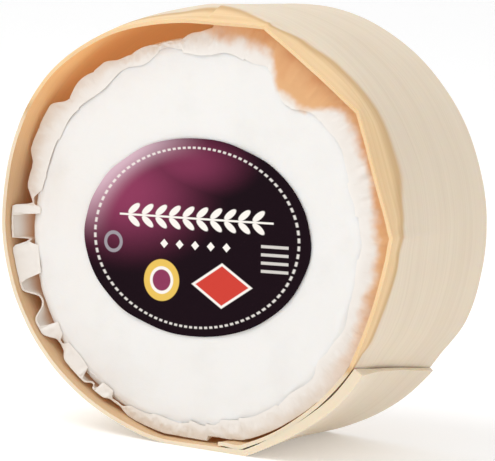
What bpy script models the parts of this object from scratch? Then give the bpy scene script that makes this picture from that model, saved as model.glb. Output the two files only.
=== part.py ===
"""Soft white-rind cheese standing on its rim in an open round veneer box.

The box axis runs along Y with the open face toward -Y, +Z is up and the floor is
z = 0. Lengths are in metres, angles in degrees. Round sizes are given about the
box axis, with angle 0 at +X and counter-clockwise as seen from the open face.
"""
import math

import bmesh
import bpy

# Box, after a 500 g cheese box about 126 mm across and 60 mm deep
BOX_RADIUS = 0.0630
BOX_DEPTH = 0.0600
BOX_AXIS_HEIGHT = 0.0611
FRONT_Y = -BOX_DEPTH / 2
BACK_Y = BOX_DEPTH / 2
VENEER = 0.0010
CLEARANCE = 0.0003
SHARP_ANGLE = math.radians(40.0)

# Veneer strip: starts at the lap seam, runs clockwise and ends under its own start
SEAM_ANGLE = 324.0
STRIP_TURN = 401.0
LAP_GAP = 0.0005
LAP_STEP = VENEER + LAP_GAP
LAP_START = 359.0
LAP_EASE = 14.0
LAP_MARGIN = 6.0
CREASE_SOFTNESS = 0.0016
SLOPE_BLEND_START = 0.8
SLOPE_BLEND = 0.5
FLARE_LENGTH = 0.045
STRIP_STEP = 5.0
STRIP_ROWS = (0.0, 0.0009, 0.0020, 0.0034, 0.0052, 0.0075, 0.0110, 0.0170, 0.0280, 0.0430, BOX_DEPTH)

# Free edge of the strip: turn from the seam, radius of the outer face there, and for
# the stretch that follows: straight or round, bulge in the middle, inward slope
RIM_CORNERS = (
    (0.0, 0.0660, False, -0.0004, 0.10),
    (34.0, 0.0651, True, 0.0, 0.10),
    (56.0, 0.06115, False, 0.0, 0.08),
    (74.0, 0.0606, False, 0.0, 0.06),
    (144.0, 0.0627, False, 0.0, 0.06),
    (174.0, 0.0637, False, 0.0, 0.30),
    (234.0, 0.0585, True, 0.0, 0.70),
    (252.0, 0.0617, True, 0.0003, 0.38),
    (287.0, 0.0631, True, 0.0, 0.22),
    (320.0, 0.0638, True, 0.0012, 0.20),
    (355.0, 0.0632, False, -0.0004, 0.20),
    (394.0, 0.0630, False, 0.0, 0.10),
    (STRIP_TURN, 0.0610, False, 0.0, 0.10),
)

# Back board, pushed into the strip
BOARD_THICKNESS = 0.0020
BOARD_INSET = 0.0003
BOARD_SIDES = 72

# Cheese: soft drum, sagging in the box and a little turned, pressed into shape by the veneer
CHEESE_RADIUS = 0.0561
CHEESE_X = -0.0008
CHEESE_DROP = 0.0026
CHEESE_BACK_Y = 0.0266
CHEESE_FACE_Y = -0.0256
CHEESE_TURN = math.tan(math.radians(1.5))
CHEESE_ROOM = 0.0015
CHEESE_ROOM_SPREAD = math.radians(5.5)
SHOULDER = 0.0045
SHOULDER_LEAN = 0.80
BACK_SHOULDER = 0.0085
SHOULDER_STEPS = 4
FACE_RINGS = (0.018, 0.035, 0.047)
BACK_RINGS = (0.040, 0.020)
CHEESE_SIDES = 72
# Waves of its side: waves around, share, phase; of its face: per metre across and up, phase
SIDE_WAVE = 0.0004
SIDE_WAVES = ((2.0, 1.0, 0.6), (5.0, 0.6, 0.0), (9.0, 0.4, 2.0))
FACE_WAVE = 0.00022
FACE_WAVES = ((95.0, 0.0, 0.7), (40.0, 120.0, 0.0))

# Label on the cheese face
LABEL_HALF_WIDTH = 0.0372
LABEL_HALF_HEIGHT = 0.0279
LABEL_X = -0.0005
LABEL_DROP = 0.0027
LABEL_ROLL = math.radians(3.2)
LABEL_THICKNESS = 0.0002
LABEL_SIDES = 56
LABEL_RINGS = (0.36, 0.72, 1.0)
LABEL_EDGE_WAVE = 0.004
LABEL_EDGE_WAVES = 7.0
LABEL_EDGE_PHASE = 0.8

# Pleated paper cup between the cheese and the veneer
PAPER = 0.0003
PAPER_PLEATS = 36
COLUMNS_PER_PLEAT = 4
PAPER_ROOM = 0.00080
PAPER_WALL_ROOM = 0.00055
PAPER_BACK_Y = 0.02725
PAPER_BACK_RINGS = (0.0, 0.030, 0.0525)
PAPER_SIDE_ROWS = (0.02450, 0.00800, -0.00800, -0.01700, -0.02250)
PAPER_EDGE_Y = -0.02620
PAPER_EDGE_WAVE = 0.0009
PAPER_EDGE_WAVES = 4.0
PAPER_EDGE_PHASE = 1.0
PLEAT_DRIFT = math.radians(2.4)
PLEAT_DRIFT_WAVES = 5.0
PLEATED_SIDE = math.radians(198.0)
PLEATED_HALF = math.radians(58.0)
PLEATED_EASE = math.radians(16.0)
HUGGING = 0.04
PLEATED_LEAN = 0.46
PLEATED_SWING = 0.44
RIGHT_LEAN = 0.40
RIGHT_SWING = 0.16


def smoothstep(value):
    value = min(max(value, 0.0), 1.0)
    return value * value * (3.0 - 2.0 * value)


def soft_min(first, second, softness):
    overlap = max(softness - abs(first - second), 0.0) / softness
    return min(first, second) - overlap * overlap * softness / 4.0


def chord_radius(start, end, span, along):
    """Radius, at the angle along, of the straight line between two polar points."""
    across = start * math.sin(along) + end * math.sin(span - along)
    return start * end * math.sin(span) / across


def rim_at(turn):
    """Radius of the free edge and the inward slope of the strip behind it."""
    for corner, following in zip(RIM_CORNERS, RIM_CORNERS[1:]):
        if turn <= following[0]:
            break
    start_turn, start_radius, straight, bulge, slope = corner
    end_turn, end_radius = following[:2]
    share = (turn - start_turn) / (end_turn - start_turn)
    if straight:
        span = math.radians(end_turn - start_turn)
        radius = chord_radius(start_radius, end_radius, span, span * share)
    else:
        radius = start_radius + (end_radius - start_radius) * smoothstep(share)
    blend = smoothstep((share - SLOPE_BLEND_START) / (1.0 - SLOPE_BLEND_START))
    slope += (following[4] - slope) * blend * SLOPE_BLEND
    return radius + bulge * math.sin(math.pi * share), slope


def barrel_radius(turn):
    """Radius of the strip's outer face away from the free edge."""
    return BOX_RADIUS - LAP_STEP * smoothstep((turn - LAP_START + LAP_EASE) / LAP_EASE)


def strip_radius(turn, behind_edge):
    """Radius of the strip's outer face, at a distance behind the free edge."""
    rim, slope = rim_at(turn)
    barrel = barrel_radius(turn)
    if rim > barrel:
        fade = max(1.0 - behind_edge / FLARE_LENGTH, 0.0)
        radius = barrel + (rim - barrel) * fade * fade
    else:
        softness = min(CREASE_SOFTNESS, barrel - rim)
        radius = rim + slope * behind_edge
        if softness > 0.0:
            radius = soft_min(barrel, radius, softness)
        else:
            radius = min(barrel, radius)
    sine = math.sin(math.radians(SEAM_ANGLE - turn))
    floor_gap = BOX_AXIS_HEIGHT
    if turn >= 360.0:
        floor_gap -= LAP_STEP
    if sine < 0.0:
        radius = min(radius, floor_gap / -sine)
    return radius


def room_radius(angle, y):
    """Radius of the free room inside the strip at an angle in radians."""
    turn = (SEAM_ANGLE - math.degrees(angle)) % 360.0
    radius = strip_radius(turn, y - FRONT_Y)
    if turn + 360.0 <= STRIP_TURN + LAP_MARGIN:
        radius = min(radius, strip_radius(turn + 360.0, y - FRONT_Y))
    return radius - VENEER


def in_box(angle, radius, y):
    """Point of the box frame from an angle in radians, a radius and a depth."""
    return (radius * math.cos(angle), y, BOX_AXIS_HEIGHT + radius * math.sin(angle))


def face_lift(x, height):
    """How far the cheese face departs from a flat plane, toward the open side."""
    rolling = sum(math.sin(x * across + height * upward + phase) for across, upward, phase in FACE_WAVES)
    return CHEESE_TURN * x + FACE_WAVE * rolling


def cheese_radius(angle):
    """Radius of the cheese side about the box axis, where the veneer leaves it room."""
    along = CHEESE_X * math.cos(angle) - CHEESE_DROP * math.sin(angle)
    across = -CHEESE_X * math.sin(angle) - CHEESE_DROP * math.cos(angle)
    wave = sum(share * math.sin(count * angle + phase) for count, share, phase in SIDE_WAVES)
    side = CHEESE_RADIUS + SIDE_WAVE * wave
    drum = along + math.sqrt(side * side - across * across)
    around = (angle - CHEESE_ROOM_SPREAD, angle, angle + CHEESE_ROOM_SPREAD)
    room = min(room_radius(near, CHEESE_FACE_Y + SHOULDER) for near in around)
    return min(drum, room - CHEESE_ROOM)


def cheese_side(angle, y):
    """Radius of the cheese at a depth, drawn in over its front shoulder."""
    inward = min(max((CHEESE_FACE_Y + SHOULDER - y) / SHOULDER, 0.0), SHOULDER_LEAN)
    return cheese_radius(angle) - SHOULDER * (1.0 - math.sqrt(1.0 - inward * inward))


def new_object(name, collection):
    """The active object, renamed and moved into the collection."""
    made = bpy.context.active_object
    made.name = name
    made.data.name = name
    for owner in list(made.users_collection):
        owner.objects.unlink(made)
    collection.objects.link(made)
    return made


def apply_modifier(target, kind, **settings):
    modifier = target.modifiers.new(kind.title(), kind)
    for setting, value in settings.items():
        setattr(modifier, setting, value)
    bpy.ops.object.select_all(action="DESELECT")
    bpy.context.view_layer.objects.active = target
    target.select_set(True)
    bpy.ops.object.modifier_apply(modifier=modifier.name)


def close_outward(target):
    """Point all faces of a closed body outward and shade the round ones smooth."""
    mesh = bmesh.new()
    mesh.from_mesh(target.data)
    bmesh.ops.recalc_face_normals(mesh, faces=mesh.faces)
    mesh.to_mesh(target.data)
    mesh.free()
    target.data.shade_smooth()
    target.data.set_sharp_from_angle(angle=SHARP_ANGLE)


def turned_object(name, collection, profile, sides):
    """A profile of (radius, y) points turned once about the box axis."""
    mesh = bpy.data.meshes.new(name)
    points = [(radius, 0.0, -y) for radius, y in profile]
    edges = [(index, index + 1) for index in range(len(points) - 1)]
    mesh.from_pydata(points, edges, [])
    turned = bpy.data.objects.new(name, mesh)
    collection.objects.link(turned)
    apply_modifier(
        turned,
        "SCREW",
        axis="Z",
        angle=math.tau,
        steps=sides,
        render_steps=sides,
        use_merge_vertices=True,
        merge_threshold=0.00005,
    )
    return turned


def place_turned(target, place):
    """Move every turned vertex to place(angle, radius, y)."""
    for vertex in target.data.vertices:
        x, side, depth = vertex.co
        vertex.co = place(math.atan2(side, x), math.hypot(x, side), -depth)


def give_material(target, name, colour, roughness):
    material = bpy.data.materials.new(name)
    material.use_nodes = True
    shader = material.node_tree.nodes["Principled BSDF"]
    shader.inputs["Base Color"].default_value = (*colour, 1.0)
    shader.inputs["Roughness"].default_value = roughness
    material.diffuse_color = (*colour, 1.0)
    target.data.materials.append(material)


def strip_turns():
    """Turns of the strip's columns, with one on every corner of the free edge."""
    turns = [0.0]
    for corner, following in zip(RIM_CORNERS, RIM_CORNERS[1:]):
        span = following[0] - corner[0]
        count = math.ceil(span / STRIP_STEP)
        turns += [corner[0] + span * step / count for step in range(1, count + 1)]
    return turns


def build_strip(collection):
    turns = strip_turns()
    columns = len(turns) - 1
    rows = len(STRIP_ROWS) - 1
    bpy.ops.mesh.primitive_grid_add(x_subdivisions=columns, y_subdivisions=rows, size=1.0)
    strip = new_object("veneer_wall", collection)
    for vertex in strip.data.vertices:
        column = round((vertex.co.x + 0.5) * columns)
        row = round((vertex.co.y + 0.5) * rows)
        behind_edge = STRIP_ROWS[row]
        radius = strip_radius(turns[column], behind_edge)
        angle = math.radians(SEAM_ANGLE - turns[column])
        vertex.co = in_box(angle, radius, FRONT_Y + behind_edge)
    strip.data.update()
    face = strip.data.polygons[0]
    outward = face.normal.x * face.center.x + face.normal.z * (face.center.z - BOX_AXIS_HEIGHT)
    side = -1.0 if outward > 0.0 else 1.0
    apply_modifier(strip, "SOLIDIFY", thickness=VENEER, offset=side, use_even_offset=True)
    close_outward(strip)
    give_material(strip, "poplar_veneer", (0.70, 0.55, 0.38), 0.62)


def build_board(collection):
    bpy.ops.mesh.primitive_circle_add(vertices=BOARD_SIDES, radius=BOX_RADIUS, fill_type="NGON")
    board = new_object("back_board", collection)
    board_y = BACK_Y - BOARD_INSET - BOARD_THICKNESS
    for vertex in board.data.vertices:
        angle = math.atan2(vertex.co.y, vertex.co.x)
        radius = room_radius(angle, BACK_Y) - CLEARANCE
        vertex.co = in_box(angle, radius, board_y)
    board.data.update()
    facing = board.data.polygons[0].normal.y
    apply_modifier(board, "SOLIDIFY", thickness=BOARD_THICKNESS, offset=1.0 if facing > 0.0 else -1.0)
    close_outward(board)
    give_material(board, "poplar_board", (0.66, 0.50, 0.33), 0.66)


def cheese_profile():
    """Profile from the face centre over both shoulders to the back centre."""
    profile = [(0.0, CHEESE_FACE_Y)]
    profile += [(ring, CHEESE_FACE_Y) for ring in FACE_RINGS]
    for step in range(SHOULDER_STEPS + 1):
        bend = math.pi / 2 * step / SHOULDER_STEPS
        radius = CHEESE_RADIUS - SHOULDER * (1.0 - math.sin(bend))
        profile.append((radius, CHEESE_FACE_Y + SHOULDER * (1.0 - math.cos(bend))))
    for step in range(SHOULDER_STEPS + 1):
        bend = math.pi / 2 * step / SHOULDER_STEPS
        radius = CHEESE_RADIUS - BACK_SHOULDER * (1.0 - math.cos(bend))
        profile.append((radius, CHEESE_BACK_Y - BACK_SHOULDER * (1.0 - math.sin(bend))))
    profile += [(ring, CHEESE_BACK_Y) for ring in BACK_RINGS]
    profile.append((0.0, CHEESE_BACK_Y))
    return profile


def place_cheese(angle, radius, y):
    radius *= cheese_radius(angle) / CHEESE_RADIUS
    x = radius * math.cos(angle)
    height = radius * math.sin(angle)
    frontness = smoothstep((CHEESE_BACK_Y - y) / (CHEESE_BACK_Y - CHEESE_FACE_Y))
    return (x, y - frontness * face_lift(x, height), BOX_AXIS_HEIGHT + height)


def build_cheese(collection):
    cheese = turned_object("cheese", collection, cheese_profile(), CHEESE_SIDES)
    place_turned(cheese, place_cheese)
    close_outward(cheese)
    give_material(cheese, "white_rind", (0.88, 0.86, 0.81), 0.85)


def place_label(angle, share, lift):
    edge = 1.0 + LABEL_EDGE_WAVE * math.sin(LABEL_EDGE_WAVES * angle + LABEL_EDGE_PHASE) * share
    across = LABEL_HALF_WIDTH * share * edge * math.cos(angle)
    upward = LABEL_HALF_HEIGHT * share * edge * math.sin(angle)
    x = LABEL_X + across * math.cos(LABEL_ROLL) - upward * math.sin(LABEL_ROLL)
    height = -LABEL_DROP + across * math.sin(LABEL_ROLL) + upward * math.cos(LABEL_ROLL)
    y = CHEESE_FACE_Y - face_lift(x, height) - lift
    return (x, y, BOX_AXIS_HEIGHT + height)


def build_label(collection):
    profile = [(0.0, 0.0)] + [(share, 0.0) for share in LABEL_RINGS]
    label = turned_object("label", collection, profile, LABEL_SIDES)
    lift = CLEARANCE + LABEL_THICKNESS / 2
    place_turned(label, lambda angle, share, y: place_label(angle, share, lift))
    apply_modifier(label, "SOLIDIFY", thickness=LABEL_THICKNESS, offset=0.0)
    close_outward(label)
    give_material(label, "label_paper", (0.045, 0.012, 0.03), 0.45)


def paper_share(angle, fold):
    """Place of the free edge between the cheese (0) and the veneer (1)."""
    aside = abs((angle - PLEATED_SIDE + math.pi) % math.tau - math.pi)
    pleated = smoothstep((PLEATED_HALF - aside) / PLEATED_EASE)
    right = max(math.cos(angle), 0.0)
    lean = HUGGING + PLEATED_LEAN * pleated + RIGHT_LEAN * right
    swing = HUGGING + PLEATED_SWING * pleated + RIGHT_SWING * right
    return lean + swing * (2.0 * fold - 1.0)


def place_paper(angle, radius, y):
    if radius <= PAPER_BACK_RINGS[-1] + PAPER / 2:
        return in_box(angle, radius, y)
    pleat = angle * PAPER_PLEATS / math.tau
    fold = 1.0 - abs(2.0 * (pleat % 1.0) - 1.0)
    depth = smoothstep((PAPER_SIDE_ROWS[0] - y) / (PAPER_SIDE_ROWS[0] - PAPER_EDGE_Y))
    if y < (PAPER_SIDE_ROWS[-1] + PAPER_EDGE_Y) / 2:
        y += PAPER_EDGE_WAVE * (math.sin(PAPER_EDGE_WAVES * angle + PAPER_EDGE_PHASE) + fold - 0.5)
    angle += PLEAT_DRIFT * depth * math.sin(PLEAT_DRIFT_WAVES * angle)
    nearest = cheese_side(angle, y + face_lift(CHEESE_RADIUS * math.cos(angle), 0.0)) + PAPER_ROOM
    widest = max(room_radius(angle, y) - PAPER_WALL_ROOM, nearest)
    share = min(max(paper_share(angle, fold) * depth, 0.0), 1.0)
    return in_box(angle, nearest + (widest - nearest) * share, y)


def build_paper(collection):
    profile = [(ring, PAPER_BACK_Y) for ring in PAPER_BACK_RINGS]
    profile += [(CHEESE_RADIUS, y) for y in PAPER_SIDE_ROWS]
    profile.append((CHEESE_RADIUS, PAPER_EDGE_Y))
    paper = turned_object("paper_cup", collection, profile, PAPER_PLEATS * COLUMNS_PER_PLEAT)
    place_turned(paper, place_paper)
    apply_modifier(paper, "SOLIDIFY", thickness=PAPER, offset=0.0)
    close_outward(paper)
    give_material(paper, "waxed_paper", (0.86, 0.84, 0.80), 0.55)


def main():
    for old in list(bpy.data.objects):
        bpy.data.objects.remove(old, do_unlink=True)
    collection = bpy.data.collections.new("boxed_cheese")
    bpy.context.scene.collection.children.link(collection)
    build_strip(collection)
    build_board(collection)
    build_cheese(collection)
    build_label(collection)
    build_paper(collection)


main()
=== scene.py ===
import math

import bpy
from mathutils import Matrix, Vector, noise


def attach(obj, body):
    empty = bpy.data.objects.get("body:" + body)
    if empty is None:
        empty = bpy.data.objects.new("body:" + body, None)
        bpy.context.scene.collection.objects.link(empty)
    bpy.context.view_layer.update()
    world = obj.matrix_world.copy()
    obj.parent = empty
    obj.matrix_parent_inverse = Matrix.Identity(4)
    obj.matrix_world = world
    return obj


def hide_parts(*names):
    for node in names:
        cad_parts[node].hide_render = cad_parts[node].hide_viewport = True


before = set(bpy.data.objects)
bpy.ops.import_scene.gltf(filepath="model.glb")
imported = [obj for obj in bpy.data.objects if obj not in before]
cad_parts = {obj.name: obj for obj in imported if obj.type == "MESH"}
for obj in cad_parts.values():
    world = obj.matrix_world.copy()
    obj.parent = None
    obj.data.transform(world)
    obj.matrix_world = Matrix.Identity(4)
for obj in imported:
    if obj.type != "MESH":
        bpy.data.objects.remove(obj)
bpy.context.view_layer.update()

print("frame loaded, nodes:", sorted(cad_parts))

scene = bpy.context.scene
scene.view_settings.view_transform = "Standard"

boxShape = {
    "radius": 0.0630,
    "depth": 0.0600,
    "axisHeight": 0.0611,
    "veneer": 0.0010,
    "lapGap": 0.0005,
    "seamAngle": 324.0,      # degrees, counter-clockwise from +X seen from the open side
    "turn": 401.0,           # degrees of strip, clockwise from the seam
    "lapStart": 359.0,
    "lapEase": 14.0,
    "lapMargin": 6.0,
    "creaseSoftness": 0.0016,
    "flareLength": 0.045,
}
frontY = -boxShape["depth"] / 2
backY = boxShape["depth"] / 2
lapStep = boxShape["veneer"] + boxShape["lapGap"]

# free edge: turn, radius, straight, bulge, inward slope of the strip behind it
rimCorners = (
    (0.0, 0.0660, False, -0.0004, 0.10),
    (34.0, 0.0651, True, 0.0, 0.10),
    (56.0, 0.06115, False, 0.0, 0.08),
    (74.0, 0.0606, False, 0.0, 0.06),
    (144.0, 0.0627, False, 0.0, 0.06),
    (174.0, 0.0637, False, 0.0, 0.30),
    (234.0, 0.0585, True, 0.0, 0.70),
    (252.0, 0.0617, True, 0.0003, 0.38),
    (287.0, 0.0631, True, 0.0, 0.22),
    (320.0, 0.0638, True, 0.0012, 0.20),
    (355.0, 0.0632, False, -0.0004, 0.20),
    (394.0, 0.0630, False, 0.0, 0.10),
    (boxShape["turn"], 0.0610, False, 0.0, 0.10),
)


def smoothStep(value):
    value = min(max(value, 0.0), 1.0)
    return value * value * (3.0 - 2.0 * value)


def softMin(first, second, softness):
    overlap = max(softness - abs(first - second), 0.0) / softness
    return min(first, second) - overlap * overlap * softness / 4.0


def chordRadius(start, end, span, along):
    across = start * math.sin(along) + end * math.sin(span - along)
    return start * end * math.sin(span) / across


def rimAt(turn):
    for corner, following in zip(rimCorners, rimCorners[1:]):
        if turn <= following[0]:
            break
    startTurn, startRadius, straight, bulge, slope = corner
    endTurn, endRadius = following[:2]
    share = (turn - startTurn) / (endTurn - startTurn)
    if straight:
        span = math.radians(endTurn - startTurn)
        radius = chordRadius(startRadius, endRadius, span, span * share)
    else:
        radius = startRadius + (endRadius - startRadius) * smoothStep(share)
    slope += (following[4] - slope) * smoothStep((share - 0.8) / 0.2) * 0.5
    return radius + bulge * math.sin(math.pi * share), slope


def barrelRadius(turn):
    ease = boxShape["lapEase"]
    return boxShape["radius"] - lapStep * smoothStep((turn - boxShape["lapStart"] + ease) / ease)


def stripRadius(turn, behindEdge):
    rim, slope = rimAt(turn)
    barrel = barrelRadius(turn)
    if rim > barrel:
        fade = max(1.0 - behindEdge / boxShape["flareLength"], 0.0)
        radius = barrel + (rim - barrel) * fade * fade
    else:
        softness = max(min(boxShape["creaseSoftness"], barrel - rim), 0.000001)
        radius = softMin(barrel, rim + slope * behindEdge, softness)
    sine = math.sin(math.radians(boxShape["seamAngle"] - turn))
    floorGap = boxShape["axisHeight"] - (lapStep if turn >= 360.0 else 0.0)
    if sine < 0.0:
        radius = min(radius, floorGap / -sine)
    return radius


def roomRadius(angle, y):
    turn = (boxShape["seamAngle"] - math.degrees(angle)) % 360.0
    radius = stripRadius(turn, y - frontY)
    if turn + 360.0 <= boxShape["turn"] + boxShape["lapMargin"]:
        radius = min(radius, stripRadius(turn + 360.0, y - frontY))
    return radius - boxShape["veneer"]


def inBox(angle, radius, y):
    return Vector((radius * math.cos(angle), y, boxShape["axisHeight"] + radius * math.sin(angle)))


# modelling helpers


def renameActive(name):
    piece = bpy.context.active_object
    piece.name = name
    piece.data.name = name
    return piece


def deselectAll():
    if bpy.context.mode != "OBJECT":
        bpy.ops.object.mode_set(mode="OBJECT")
    bpy.ops.object.select_all(action="DESELECT")


def makeActive(piece):
    deselectAll()
    bpy.context.view_layer.objects.active = piece
    piece.select_set(True)


def addGrid(name, columns, rows):
    deselectAll()
    bpy.ops.mesh.primitive_grid_add(x_subdivisions=columns, y_subdivisions=rows, size=1.0)
    return renameActive(name)


def applyModifier(piece, kind, **settings):
    makeActive(piece)
    modifier = piece.modifiers.new(kind.title(), kind)
    for setting, value in settings.items():
        setattr(modifier, setting, value)
    bpy.ops.object.modifier_apply(modifier=modifier.name)


def faceOutward(piece):
    makeActive(piece)
    bpy.ops.object.mode_set(mode="EDIT")
    bpy.ops.mesh.select_all(action="SELECT")
    bpy.ops.mesh.normals_make_consistent(inside=False)
    bpy.ops.object.mode_set(mode="OBJECT")


def mergeSeam(piece, distance):
    makeActive(piece)
    bpy.ops.object.mode_set(mode="EDIT")
    bpy.ops.mesh.select_all(action="SELECT")
    bpy.ops.mesh.remove_doubles(threshold=distance)
    bpy.ops.object.mode_set(mode="OBJECT")


def shadeSmooth(piece, degrees=40.0):
    piece.data.shade_smooth()
    piece.data.set_sharp_from_angle(angle=math.radians(degrees))


# shader helpers


def addNode(tree, kind, **settings):
    node = tree.nodes.new(kind)
    for setting, value in settings.items():
        setattr(node, setting, value)
    return node


def feed(tree, socket, value):
    if isinstance(value, bpy.types.NodeSocket):
        tree.links.new(value, socket)
    else:
        socket.default_value = value


def setInputs(node, values):
    for name, value in values.items():
        node.inputs[name].default_value = value


def calc(tree, operation, *values, clamp=False):
    node = addNode(tree, "ShaderNodeMath", operation=operation, use_clamp=clamp)
    for socket, value in zip(node.inputs, values):
        feed(tree, socket, value)
    return node.outputs[0]


def mixColour(tree, share, first, second):
    node = addNode(tree, "ShaderNodeMix", data_type="RGBA")
    feed(tree, node.inputs[0], share)
    feed(tree, node.inputs[6], first)
    feed(tree, node.inputs[7], second)
    return node.outputs[2]


def remap(tree, value, low, high, newLow=0.0, newHigh=1.0):
    node = addNode(tree, "ShaderNodeMapRange", interpolation_type="SMOOTHSTEP")
    for socket, entry in zip(node.inputs, (value, low, high, newLow, newHigh)):
        feed(tree, socket, entry)
    return node.outputs[0]


def objectPlace(tree):
    return addNode(tree, "ShaderNodeTexCoord").outputs["Object"]


def stretched(tree, vector, scale):
    node = addNode(tree, "ShaderNodeMapping")
    feed(tree, node.inputs["Vector"], vector)
    node.inputs["Scale"].default_value = scale
    return node.outputs[0]


def noiseAt(tree, vector, scale, detail=3.0, roughness=0.5):
    node = addNode(tree, "ShaderNodeTexNoise")
    feed(tree, node.inputs["Vector"], vector)
    setInputs(node, {"Scale": scale, "Detail": detail, "Roughness": roughness})
    return node.outputs["Fac"]


def newGroup(name, inputs, outputs):
    tree = bpy.data.node_groups.new(name, "ShaderNodeTree")
    for label, kind in inputs:
        tree.interface.new_socket(label, in_out="INPUT", socket_type=kind)
    for label, kind in outputs:
        tree.interface.new_socket(label, in_out="OUTPUT", socket_type=kind)
    return tree, tree.nodes.new("NodeGroupInput"), tree.nodes.new("NodeGroupOutput")


def useGroup(tree, group, **values):
    node = addNode(tree, "ShaderNodeGroup", node_tree=group)
    setInputs(node, values)
    return node


def placedGroup(tree, group, **values):
    node = useGroup(tree, group, **values)
    tree.links.new(objectPlace(tree), node.inputs["Place"])
    return node


def newMaterial(name, surface):
    material = bpy.data.materials.new(name)
    material.use_nodes = True
    tree = material.node_tree
    shader = tree.nodes["Principled BSDF"]
    setInputs(shader, surface)
    return material, tree, shader


def addBump(tree, shader, height, strength, distance):
    bump = addNode(tree, "ShaderNodeBump")
    setInputs(bump, {"Strength": strength, "Distance": distance})
    tree.links.new(height, bump.inputs["Height"])
    tree.links.new(bump.outputs["Normal"], shader.inputs["Normal"])


# veneer

veneerLook = {
    "outerPale": (0.770, 0.665, 0.525, 1.0),
    "outerDark": (0.660, 0.545, 0.410, 1.0),
    # painted light: warmer, yellower tones where the flattened front faces the light
    "facetPale": (0.840, 0.625, 0.372, 1.0),
    "facetDark": (0.640, 0.430, 0.215, 1.0),
    # painted shade: darker tones in the bend between the flattened front and the round wall
    "creasePale": (0.640, 0.430, 0.225, 1.0),
    "creaseDark": (0.520, 0.330, 0.160, 1.0),
    # the inside: a darker, oranger copy of the veneer, painted shade and painted light through the wood
    "innerPale": (0.690, 0.480, 0.285, 1.0),
    "innerDark": (0.580, 0.370, 0.190, 1.0),
    # painted light through the veneer and painted shade, oranger towards the top
    "innerTopGlow": (0.740, 0.430, 0.180, 1.0),
    # painted light: glow where light would come through the veneer from the lit side
    "paintedThroughGlow": (0.240, 0.125, 0.045, 1.0),
    "noLight": (0.0, 0.0, 0.0, 1.0),
    "edgePale": (0.780, 0.680, 0.520, 1.0),
    "edgeDark": (0.640, 0.500, 0.340, 1.0),
    "surface": {
        "Roughness": 0.62,
        "Specular IOR Level": 0.25,
        "Subsurface Radius": (1.0, 0.42, 0.16),
        "Subsurface Scale": 0.0016,
    },
    "translucency": 0.30,
    "innerTranslucency": 0.35,
    "thickness": 0.00110,
    "endThickness": 0.0031,  # at the front corner of the outer end, where the strip splits
    "endTurn": 55.0,         # degrees over which that runs out
    "endFlare": 0.0006,
    "flareTurn": 22.0,
    "endReach": 0.020,       # both run out this far behind the free edge
    "columnStep": 0.8,       # degrees
    "rows": 36,
    "rowCrowding": 1.7,      # rows crowd toward the free edge
    "skewFront": 5.3,        # degrees that the seam leans forward at the free edge
    "skewBack": -2.4,
    "skewReach": 40.0,
    "ripple": 0.00028,       # depth of the waves in the strip
    "fray": 0.00022,         # of the uneven free edge
    "frayReach": 0.010,
    "floorEase": 0.004,      # height over which ripple and flare set in
    "creaseEase": 0.004,     # a flattened front narrower than this fades out
    "creaseShadeFade": (0.0, 0.26),    # shares of the flattened front over which its painted shade sets in
    "facetFade": (0.24, 0.60),
    "topLight": (0.055, 0.118),   # heights between which the inside turns oranger, painted light through the veneer and painted shade
    "throughSide": math.radians(112.0),
    "throughFrom": 0.45,
}
# where the flattened front ends: turn, distance behind the free edge
creaseLine = (
    (160.0, 0.0),
    (200.0, 0.0070),
    (236.0, 0.0085),
    (252.0, 0.0030),
    (262.0, 0.0075),
    (272.0, 0.0105),
    (287.0, 0.0135),
    (303.0, 0.0130),
    (314.0, 0.0100),
    (326.0, 0.0068),
    (345.0, 0.0045),
    (362.0, 0.0),
)
stripLength = math.radians(boxShape["turn"]) * boxShape["radius"]


def creaseReach(turn):
    if turn <= creaseLine[0][0] or turn >= creaseLine[-1][0]:
        return 0.0
    for start, end in zip(creaseLine, creaseLine[1:]):
        if turn <= end[0]:
            break
    share = smoothStep((turn - start[0]) / (end[0] - start[0]))
    return start[1] + (end[1] - start[1]) * share


def makeVeneerFigure():
    tree, given, result = newGroup(
        "veneerFigure",
        (("Strip", "NodeSocketVector"), ("Pale", "NodeSocketColor"), ("Dark", "NodeSocketColor")),
        (("Color", "NodeSocketColor"), ("Height", "NodeSocketFloat")),
    )
    strip = given.outputs["Strip"]
    streaks = noiseAt(tree, stretched(tree, strip, (9.0, 900.0, 1.0)), 1.0, 5.0, 0.62)
    bands = noiseAt(tree, stretched(tree, strip, (5.0, 90.0, 1.0)), 1.0, 2.0, 0.5)
    fibres = noiseAt(tree, stretched(tree, strip, (60.0, 4200.0, 1.0)), 1.0, 2.0, 0.6)
    clouds = noiseAt(tree, stretched(tree, strip, (22.0, 34.0, 1.0)), 1.0, 2.0, 0.5)
    fine = calc(tree, "MULTIPLY", remap(tree, streaks, 0.38, 0.72), 0.38)
    broad = calc(tree, "MULTIPLY", remap(tree, bands, 0.35, 0.70), 0.24)
    cloudy = calc(tree, "MULTIPLY", remap(tree, clouds, 0.35, 0.70), 0.16)
    hairs = calc(tree, "MULTIPLY", calc(tree, "SUBTRACT", fibres, 0.5), 0.24)
    share = calc(tree, "ADD", calc(tree, "ADD", fine, broad), calc(tree, "ADD", cloudy, hairs), clamp=True)
    colour = mixColour(tree, share, given.outputs["Pale"], given.outputs["Dark"])
    height = calc(tree, "ADD", calc(tree, "MULTIPLY", streaks, 0.6), calc(tree, "MULTIPLY", fibres, 0.4))
    tree.links.new(colour, result.inputs["Color"])
    tree.links.new(height, result.inputs["Height"])
    return tree


veneerFigure = makeVeneerFigure()


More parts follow.
